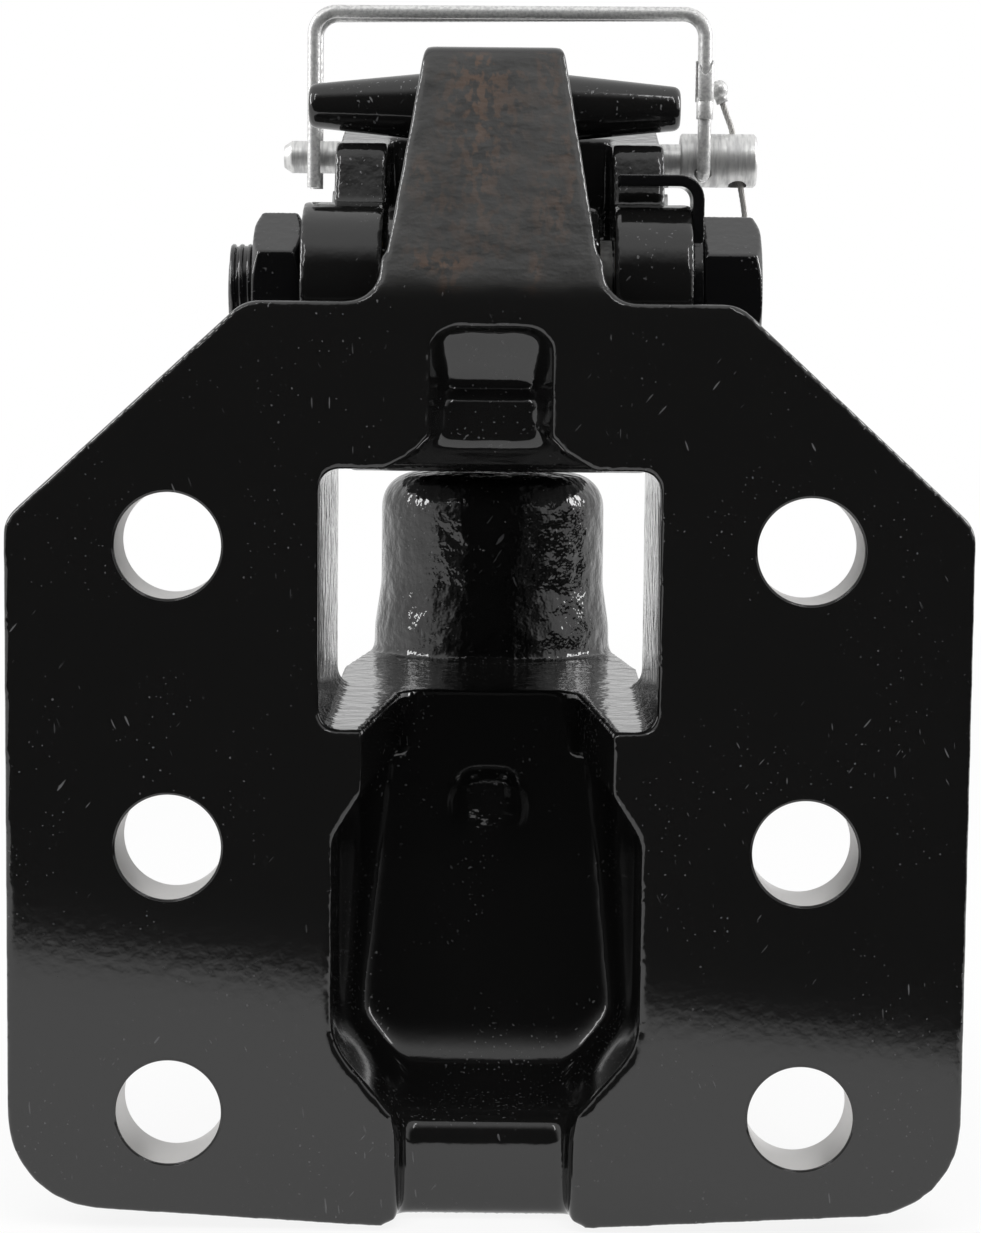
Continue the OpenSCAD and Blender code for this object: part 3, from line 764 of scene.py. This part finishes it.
    def lamp(self, name: str, at: Sequence[float], size: Sequence[float], watts: float,
             mirrored: bool = True) -> None:
        """Hang one soft lamp that points at the hook.

        Args:
            name: Name of the lamp.
            at: Its place.
            size: Its width and height.
            watts: Its power.
            mirrored: Whether gloss paint shows it.
        """
        data = bpy.data.lights.new(name, "AREA")
        data.shape = "RECTANGLE"
        data.size, data.size_y = size
        data.energy = watts
        lamp = bpy.data.objects.new(name, data)
        aim = Vector(self.lamps_aim) - Vector(at)
        lamp.matrix_world = Matrix.Translation(at) @ aim.to_track_quat("-Z", "Y").to_matrix().to_4x4()
        lamp.visible_glossy = mirrored
        bpy.context.scene.collection.objects.link(lamp)

    def build(self) -> None:
        """Set up the whole studio."""
        self.camera()
        self.floor()
        self.surroundings()
        self.lamp("lamp_over", (0.05, -0.25, 0.8), (0.8, 0.5), 4.0, False)
        self.lamp("strip_left", (-0.42, -0.5, 0.75), (0.06, 0.5), 0.7)
        self.lamp("strip_right", (0.34, -0.55, 0.8), (0.06, 0.5), 0.7)
        self.lamp("lamp_left", (-0.75, 0.1, 0.45), (0.2, 0.5), 3.0)
        self.lamp("lamp_right", (0.75, 0.25, 0.4), (0.2, 0.5), 3.0)
        bpy.context.scene.view_settings.view_transform = "Standard"


@dataclass
class HookBody:
    """The casting with flange, window, tower and horn. Sizes are in millimetres."""

    span_x: float = 127.0
    rows: tuple[float, float, float] = (57.15, -3.175, -57.15)
    hole_r: float = 10.55
    rim: float = 0.5
    flange_t: float = 15.9
    tower_from: float = 106.0
    boss_at: tuple[float, float, float] = (0.0, 57.0, -4.0)
    boss_half: tuple[float, float, float] = (7.0, 8.0, 8.0)
    window_half: float = 35.0
    window_z: tuple[float, float] = (20.0, 73.5)
    horn_y: tuple[float, float] = (84.0, 110.0)
    voxel: float = 0.58
    passes: int = 26
    cavity_top: float = 6.0
    cavity_half: float = 31.5
    cavity_depth: float = 69.0
    cavity_floor: float = -64.0
    channel_top: float = -56.0
    channel_half: float = 21.0
    channel_depth: float = 11.0
    pocket_half: float = 14.0
    pocket_from: float = 72.0
    pocket_top: float = 104.0
    pocket_depth: float = 20.0
    rust_at: tuple[tuple[float, float, float, float], ...] = (
        (-3.4, 151.0, 5.5, 5.0), (-9.6, 129.0, 8.0, 5.5), (-9.3, 115.0, 8.0, 4.2), (14.0, 118.0, 2.5, 4.0))

    def holes(self) -> list[tuple[float, float]]:
        """Centres of the bolt holes."""
        return [(side * self.span_x / 2, z) for side in (-1, 1) for z in self.rows]

    def fill(self, bm: bmesh.types.BMesh) -> None:
        """Close the bolt holes, which are bored once the edges are rounded.

        Args:
            bm: The casting's mesh.
        """
        for x, z in self.holes():
            place = (Matrix.Translation((x * MM, self.flange_t / 2 * MM, z * MM))
                     @ Matrix.Rotation(math.pi / 2, 4, "X"))
            bmesh.ops.create_cone(bm, cap_ends=True, segments=48, radius1=(self.hole_r + 2) * MM,
                                  radius2=(self.hole_r + 2) * MM, depth=self.flange_t * MM, matrix=place)

    def soft(self, at: np.ndarray) -> np.ndarray:
        """Where the core left generous fillets: in the cavity, the drain channel and the pocket.

        Args:
            at: Points in millimetres.

        Returns:
            1 where the casting is softest and 0 elsewhere.
        """
        side, deep, high = np.abs(at[:, 0]), at[:, 1], at[:, 2]
        inside = (below(side, self.cavity_half, 1.0) * above(deep, 2.0, 6.0)
                  * below(high, self.cavity_top, 6.0) * below(deep, self.cavity_depth, 2.0)
                  * above(high, self.cavity_floor, 2.0))
        channel = (below(side, self.channel_half, 2.0) * below(deep, self.channel_depth, 1.0)
                   * below(high, self.channel_top, 6.0))
        pocket = (below(side, self.pocket_half, 1.0) * above(deep, 1.0, 3.0)
                  * below(deep, self.pocket_depth, 2.0) * above(high, self.pocket_from, 4.0)
                  * below(high, self.pocket_top, 1.0))
        return np.maximum(np.maximum(inside, channel), 0.5 * pocket)

    def drill(self) -> bpy.types.Object:
        """Barrels that bore the holes, flared so that each rim is left a little round.

        Returns:
            The drill as one mesh.
        """
        turns = [math.radians(a) for a in (0.0, 22.5, 45.0, 67.5, 90.0)]
        near = [(self.hole_r + self.rim * (1 - math.sin(a)), self.rim * (1 - math.cos(a))) for a in turns]
        profile = [(near[0][0], -1.0)] + near
        profile += [(r, self.flange_t - y) for r, y in reversed(profile)]
        bm = bmesh.new()
        for x, z in self.holes():
            verts = [bm.verts.new(((x + r) * MM, y * MM, z * MM)) for r, y in profile]
            edges = [bm.edges.new(pair) for pair in zip(verts, verts[1:])]
            bmesh.ops.spin(bm, geom=verts + edges, cent=(x * MM, 0.0, z * MM), axis=(0.0, 1.0, 0.0),
                           angle=2 * math.pi, steps=96, use_merge=True)
        bmesh.ops.remove_doubles(bm, verts=bm.verts, dist=1e-7)
        bmesh.ops.holes_fill(bm, edges=[e for e in bm.edges if e.is_boundary], sides=0)
        bmesh.ops.recalc_face_normals(bm, faces=bm.faces)
        mesh = bpy.data.meshes.new("drill")
        bm.to_mesh(mesh)
        bm.free()
        return link("drill", mesh)

    def bore(self, body: bpy.types.Object) -> bpy.types.Object:
        """Bore the bolt holes and mark their bare walls.

        Args:
            body: The softened casting.

        Returns:
            The bored casting.
        """
        body = bored(body, [self.drill()])
        bm = bmesh.new()
        bm.from_mesh(body.data)
        bare = np.zeros(len(bm.faces))
        inside = [False] * len(bm.faces)
        for face in bm.faces:
            if max(v.co.y for v in face.verts) > (self.flange_t + 0.5) * MM:
                continue
            for x, z in self.holes():
                reach = [math.hypot(v.co.x / MM - x, v.co.z / MM - z) for v in face.verts]
                if max(reach) < self.hole_r + self.rim + 0.03 and abs(face.normal.y) < 0.999:
                    inside[face.index] = True
                    bare[face.index] = float(max(reach) < self.hole_r + 0.06)
        for edge in bm.edges:
            sides = {inside[face.index] for face in edge.link_faces}
            edge.smooth = len(sides) < 2
        bm.to_mesh(body.data)
        bm.free()
        paint_mask(body, Mask.BARE, bare, "FACE")
        return body

    def build(self, paint: bpy.types.Material, bronze: bpy.types.Material) -> None:
        """Build the casting and dress its bush.

        Args:
            paint: Finish of the casting.
            bronze: Finish of the bush.
        """
        body = self.bore(SoftCopy("hook_body", "hook_casting", self.voxel * MM, self.passes, fill=self.fill,
                                  soft=self.soft).build())
        at, normal = points_and_normals(body)
        scale = step(at[:, 2], self.tower_from, self.tower_from + 5) * step(-normal[:, 1], 0.6, 0.85)
        paint_mask(body, Mask.SCALE, scale)
        rust = [1.0 - step(np.hypot((at[:, 0] - x) / wide, (at[:, 2] - z) / tall), 0.5, 1.2)
                for x, z, wide, tall in self.rust_at]
        paint_mask(body, Mask.RUST, np.max(rust, axis=0))
        boss = 1.0 - step(np.linalg.norm((at - self.boss_at) / self.boss_half, axis=1), 0.8, 1.1)
        low, top = self.window_z
        window = (np.abs(at[:, 0]) < self.window_half) & (at[:, 2] > low) & (at[:, 2] < top)
        window = 0.4 * window * step(at[:, 1], 2.0, 6.0)
        horn = step(at[:, 1], *self.horn_y)
        paint_mask(body, Mask.GRAIN, np.maximum(np.maximum(horn, window), 0.7 * boss))
        dress(body, paint, Rider.BODY, ["hook_body"])
        keep_node("pivot_bush", bronze)


@dataclass
class JawPivot:
    """Bolt, nut, keeper and washer of the jaw's hinge. Sizes are in millimetres."""

    axis: tuple[float, float] = (40.0, 107.0)
    thread_r: float = 9.3
    thread_from: float = -54.2
    pitch: float = 1.7
    turns: int = 3
    steps: int = 32
    ridge_r: float = 0.62
    passes: int = 6

    def thread(self) -> bpy.types.Object:
        """Wind the thread ridge on the bolt's free end.

        Returns:
            The ridge.
        """
        route = coil(self.axis, self.thread_r, self.thread_from, self.pitch,
                     self.turns * self.steps, self.steps)
        return wire("bolt_thread", [route], self.ridge_r, 2)

    def build(self, paint: bpy.types.Material, steel: bpy.types.Material) -> None:
        """Build the bolt, nut and keeper and dress the washer.

        Args:
            paint: Finish of the fasteners.
            steel: Finish of the washer.
        """
        for node, name, voxel in (("pivot_bolt", "hinge_bolt", 0.4), ("pivot_nut", "hinge_nut", 0.35),
                                  ("keeper_plate", "hinge_keeper", 0.28)):
            piece = SoftCopy(node, name, voxel * MM, self.passes).build()
            dress(piece, paint, Rider.JAW, [node])
        dress(self.thread(), paint, Rider.JAW)
        keep_node("thrust_washer", steel)


@dataclass
class UpperJaw:
    """The clevis casting that closes over the horn. Sizes are in millimetres."""

    voxel: float = 0.62
    passes: int = 14
    cheek_z: tuple[float, float] = (126.0, 132.0)
    front_y: tuple[float, float] = (80.0, 110.0)

    def build(self, paint: bpy.types.Material) -> None:
        """Build the casting.

        Args:
            paint: Its finish.
        """
        jaw = SoftCopy("upper_jaw", "jaw_casting", self.voxel * MM, self.passes).build()
        at, _ = points_and_normals(jaw)
        grain = 0.12 + 0.2 * step(at[:, 2], *self.cheek_z) + 0.5 * step(at[:, 1], *self.front_y)
        paint_mask(jaw, Mask.GRAIN, grain)
        dress(jaw, paint, Rider.JAW, ["upper_jaw"])


@dataclass
class LockLever:
    """The T-handled lever with its pin, rings and spring. Sizes are in millimetres."""

    voxel: float = 0.5
    passes: int = 8
    axis: tuple[float, float] = (100.0, 125.0)
    coil_r: float = 6.25
    coil_from: float = 5.1
    pitch: float = 2.0
    turns: int = 3
    steps: int = 28
    start: float = 150.0
    tang: float = 3.0
    spring_wire: float = 1.8

    def spring(self) -> bpy.types.Object:
        """Wind the torsion spring with a tang at each end.

        Returns:
            The spring.
        """
        winding = coil(self.axis, self.coil_r, self.coil_from, self.pitch,
                       self.turns * self.steps + 1, self.steps, self.start)
        first, last = winding[0], winding[-1]
        route = [(first[0] - self.tang, *first[1:])] + winding + [(last[0] + self.tang, *last[1:])]
        return wire("lever_torsion_spring", [route], self.spring_wire / 2, 3)

    def build(self, paint: bpy.types.Material, steel: bpy.types.Material) -> None:
        """Build the lever and its spring and dress the small parts.

        Args:
            paint: Finish of the lever.
            steel: Finish of pin, rings and spring.
        """
        lever = SoftCopy("lock_lever", "lever_forging", self.voxel * MM, self.passes).build()
        paint_mask(lever, Mask.GRAIN, np.full(len(lever.data.vertices), 0.06))
        dress(lever, paint, Rider.LEVER, ["lock_lever"])
        spring = dress(self.spring(), steel, None, ["lever_spring"])
        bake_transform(spring)
        for node in ("lever_pin", "lever_pin_rings"):
            keep_node(node, steel)


@dataclass
class LockPin:
    """The zinc pin with its steel tether. Sizes are in millimetres, the slack's ends in metres."""

    axis: tuple[float, float] = (105.0, 137.5)
    tip_x: float = -48.0
    shank_r: float = 3.65
    head_x: tuple[float, float] = (42.0, 59.3)
    head_r: float = 6.05
    bail_hole: tuple[float, float] = (47.0, 134.1)
    tether_hole_x: float = 55.0
    tether_tilt: float = 20.0
    bail_hole_r: float = 1.62
    tether_hole_r: float = 2.1
    ball_r: float = 2.3
    ball_out: float = 3.2
    collar: tuple[float, float] = (1.1, 1.35)
    cable_d: float = 1.4
    strand_r: float = 0.26
    strands: int = 6
    lay: float = 7.0
    slack_from: tuple[float, float, float] = (0.043, 0.114, 0.104)
    slack_to: tuple[float, float, float] = (0.0566, 0.114, 0.104)
    route: tuple[tuple[float, float, float], ...] = (
        (40, 114, 104), (43, 114, 104), (46, 114.8, 103.6), (49, 117, 102.4), (51.4, 120, 100),
        (53, 122.4, 96.4), (54, 123.6, 92), (54.8, 123, 87.4), (55.4, 120.6, 83.6), (56, 117, 82),
        (56.4, 113.2, 82.8), (56.8, 109.8, 85.4), (57, 107.6, 89.4), (57.2, 106.4, 94.4), (57.2, 105.6, 100),
        (57.2, 105, 106.2), (57.2, 104.5, 112.6), (57.2, 104, 119), (56.8, 103.3, 125.6), (55.8, 103, 131.5),
        (55, 104.4, 136), (54.4, 106, 141), (53.8, 106.6, 144.6), (52.4, 106.6, 148.4), (51.6, 106.6, 150.6))

    def pin(self) -> bpy.types.Object:
        """Turn the pin and drill its head for the bail and the tether.

        Returns:
            The pin.
        """
        y, z = self.axis
        inner, outer = self.head_x[0] - self.tip_x, self.head_x[1] - self.tip_x
        profile = [(0.0, 0.0), (0.0, self.shank_r - 1.2), (1.8, self.shank_r), (inner, self.shank_r),
                   (inner, self.head_r - 0.4), (inner + 0.4, self.head_r), (outer - 0.6, self.head_r),
                   (outer, self.head_r - 0.6), (outer, 0.0)]
        pin = turned("locking_pin", profile, (self.tip_x, y, z), (1, 0, 0), 0.15)
        tilt = math.radians(self.tether_tilt)
        up = Vector((0.0, math.sin(tilt), math.cos(tilt)))
        reach = self.head_r + 2.0
        r = self.bail_hole_r
        flare = [(0.0, 0.0), (0.0, 2.2), (3.0, 2.05), (3.6, r), (2 * reach, r), (2 * reach, 0.0)]
        bail = turned("bail_drill", flare, (self.bail_hole[0], y - reach, self.bail_hole[1]), (0, 1, 0))
        r = self.tether_hole_r
        straight = [(0.0, 0.0), (0.0, r), (2 * reach, r), (2 * reach, 0.0)]
        tether = turned("tether_drill", straight, Vector((self.tether_hole_x, y, z)) - reach * up, up)
        return bored(pin, [bail, tether])

    def ball(self) -> bpy.types.Object:
        """Turn the swaged ball with its collar at the cable's end.

        Returns:
            The ball.
        """
        end, before = Vector(self.route[-1]), Vector(self.route[-2])
        turns = [math.radians(a) for a in range(148, -1, -8)]
        r = self.ball_r
        round_part = [(self.ball_out - r * math.cos(a), r * math.sin(a)) for a in reversed(turns)]
        length, collar_r = self.collar
        low = [(0.01, 0.0), (0.01, collar_r), (length, collar_r)]
        profile = low + [q for q in round_part if q[0] > length + 0.2]
        return turned("tether_ball_end", profile, end, end - before)

    def cable(self) -> tuple[bpy.types.Object, list[Vector]]:
        """Twist the cable from its strands.

        Returns:
            The cable and its centreline in metres.
        """
        line = smooth_route(self.route, 9)
        side = Vector((0.0, 1.0, 0.0))
        ring_r = self.cable_d / 2 - self.strand_r
        twisted: list[list[Vector]] = [[] for _ in range(self.strands)]
        run = 0.0
        for i, here in enumerate(line):
            ahead = (line[min(i + 1, len(line) - 1)] - line[max(i - 1, 0)]).normalized()
            side = (side - ahead * side.dot(ahead)).normalized()
            across = ahead.cross(side)
            run += (here - line[i - 1]).length if i else 0.0
            for k, strand in enumerate(twisted):
                a = 2 * math.pi * (run / self.lay + k / self.strands)
                strand.append(here + ring_r * (math.cos(a) * side + math.sin(a) * across))
        return wire("tether_rope", twisted + [line], self.strand_r, 1), [p * MM for p in line]

    def build(self, drawn_zinc: bpy.types.Material, zinc: bpy.types.Material,
              steel: bpy.types.Material) -> None:
        """Build the pin, the cable and its ball and dress the ferrule.

        Args:
            drawn_zinc: Finish of the turned pin.
            zinc: Finish of ball and ferrule.
            steel: Finish of the cable.
        """
        rope, line = self.cable()
        ball = dress(self.ball(), zinc, Rider.PIN, ["tether_ball"])
        dress(rope, steel, None, ["tether_cable"])
        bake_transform(rope)
        dress(self.pin(), drawn_zinc, Rider.PIN, ["lock_pin"])
        keep_node("tether_ferrule", zinc)


@dataclass
class Bail:
    """The wire bail and its crimped sleeve. Sizes are in millimetres."""

    wire_d: float = 3.0
    right_x: float = 47.0
    left_x: float = -41.0
    top_z: float = 169.8
    head_near: float = 97.15
    tip_near: float = 99.45
    tip_far: float = 110.55
    hinge_z: float = 134.1
    end_z: float = 130.5
    strand_y: float = 100.35
    strand_from: float = 151.0
    bend_r: float = 5.0
    hinge_in: float = 104.0
    sleeve_z: tuple[float, float] = (150.4, 159.6)
    collar_z: tuple[float, float] = (146.4, 151.2)
    scoop: float = 3.4
    sheet: float = 0.45
    seam_angle: float = 32.0

    def bend(self, x: float, z: float, start: float, y: float) -> list[tuple[float, float, float]]:
        """A quarter bend of the wire.

        Args:
            x: Centre of the bend.
            z: Height of the centre.
            start: Angle at which it starts, in degrees.
            y: Depth of the plane it lies in.

        Returns:
            Points of the bend.
        """
        angles = [math.radians(start + 90.0 * k / 10) for k in range(11)]
        return [(x + self.bend_r * math.cos(a), y, z + self.bend_r * math.sin(a)) for a in angles]

    def over(self, right_y: float, left_y: float) -> list[tuple[float, float, float]]:
        """A strand's run from the right leg over the top and down the left leg.

        Args:
            right_y: Depth of the right leg.
            left_y: Depth of the left leg.

        Returns:
            Points of the centreline.
        """
        r, z = self.bend_r, self.top_z - self.bend_r
        right = self.bend(self.right_x - r, z, 0.0, right_y)
        left = self.bend(self.left_x + r, z, 90.0, left_y)
        return right + left + [(self.left_x, left_y, self.end_z)]

    def near(self) -> list[tuple[float, float, float]]:
        """Centreline of the strand that turns in the pin's head."""
        x, y, z = self.right_x, self.head_near, self.hinge_z
        foot = [(x, self.hinge_in, z), (x, y + 1.6, z), (x, y + 0.8, z + 0.2), (x, y + 0.25, z + 0.8),
                (x, y, z + 2)]
        return foot + self.over(y, self.tip_near)

    def far(self) -> list[tuple[float, float, float]]:
        """Centreline of the strand behind the pin's tip."""
        return [(self.right_x, self.strand_y, self.strand_from)] + self.over(self.strand_y, self.tip_far)

    def clip(self, name: str, heights: tuple[float, float], back_y: float, r: float, scoop: float,
             seam: float) -> bpy.types.Object:
        """Bend one sheet clip round the wires of the right leg.

        Args:
            name: Name of the piece.
            heights: Lower and upper end.
            back_y: Centre of the clip's rear round.
            r: Outer radius.
            scoop: How far the upper edge dips in front.
            seam: Angle left open at the left, in degrees.

        Returns:
            The clip.
        """
        outline = [(self.head_near, math.radians(180 + seam + (180 - seam) * k / 16)) for k in range(17)]
        outline += [(back_y, math.radians(180.0 * k / 16)) for k in range(17)]
        bm = bmesh.new()
        low = [bm.verts.new(Vector((self.right_x + r * math.cos(a), y + r * math.sin(a), heights[0])) * MM)
               for y, a in outline]
        ends = list(zip(low, low[1:])) + ([(low[-1], low[0])] if seam == 0.0 else [])
        edges = [bm.edges.new(pair) for pair in ends]
        raised = bmesh.ops.extrude_edge_only(bm, edges=edges)["geom"]
        top = [v for v in raised if isinstance(v, bmesh.types.BMVert)]
        for vert in top:
            ahead = max(0.0, (self.head_near - vert.co.y / MM) / r)
            vert.co.z = (heights[1] - scoop * ahead ** 2) * MM
        bmesh.ops.remove_doubles(bm, verts=bm.verts, dist=1e-6)
        bmesh.ops.recalc_face_normals(bm, faces=bm.faces)
        mesh = bpy.data.meshes.new(name)
        bm.to_mesh(mesh)
        bm.free()
        obj = link(name, mesh)
        thick = obj.modifiers.new("sheet", "SOLIDIFY")
        thick.thickness = self.sheet * MM
        thick.offset = -1.0
        soft = obj.modifiers.new("edges", "BEVEL")
        soft.width = 0.12 * MM
        soft.segments = 2
        return settle(obj)

    def build(self, zinc: bpy.types.Material) -> None:
        """Build the strands and the crimped sleeve.

        Args:
            zinc: Finish of the bail.
        """
        for name, route, node in (("bail_near_wire", self.near(), "pin_bail"),
                                  ("bail_far_wire", self.far(), "bail_strand")):
            dress(wire(name, [route], self.wire_d / 2, 5), zinc, Rider.BAIL, [node])
        r = self.wire_d / 2 + self.sheet + 0.05
        sleeve = self.clip("bail_crimp", self.sleeve_z, self.strand_y, r, self.scoop, self.seam_angle)
        dress(sleeve, zinc, Rider.BAIL, ["bail_sleeve"])
        collar = self.clip("bail_crimp_collar", self.collar_z, self.head_near, r - 0.12, 0.0, 0.0)
        dress(collar, zinc, Rider.BAIL)


def main() -> None:
    """Build the studio and every sub-assembly."""
    logging.basicConfig(level=logging.INFO, format="%(name)s %(message)s")
    Studio().build()
    cast, fastener = CastPaint().material(), FastenerPaint().material()
    zinc = ZincPlate("zinc_plate").material()
    drawn_zinc = ZincPlate("turned_zinc", (1.0, 0.16, 0.16), metal=0.75, rough=0.34).material()
    steel = BareMetal("bare_steel", (0.6, 0.6, 0.6, 1.0), (0.42, 0.42, 0.42, 1.0)).material()
    worn = BareMetal("worn_steel", (0.3, 0.3, 0.29, 1.0), (0.1, 0.1, 0.1, 1.0), rough=0.5,
                     drawn=(0.8, 0.8, 0.8)).material()
    rope = BareMetal("rope_steel", (0.6, 0.59, 0.57, 1.0), (0.42, 0.41, 0.39, 1.0), rough=0.35,
                     drawn=(1.0, 1.0, 1.0), metal=0.6).material()
    bronze = BareMetal("bush_bronze", (0.55, 0.38, 0.19, 1.0), (0.42, 0.28, 0.13, 1.0)).material()
    LockPin().build(drawn_zinc, zinc, rope)
    Bail().build(zinc)
    HookBody().build(cast, bronze)
    UpperJaw().build(cast)
    JawPivot().build(fastener, worn)
    LockLever().build(cast, steel)


if __name__ == "__main__":
    main()
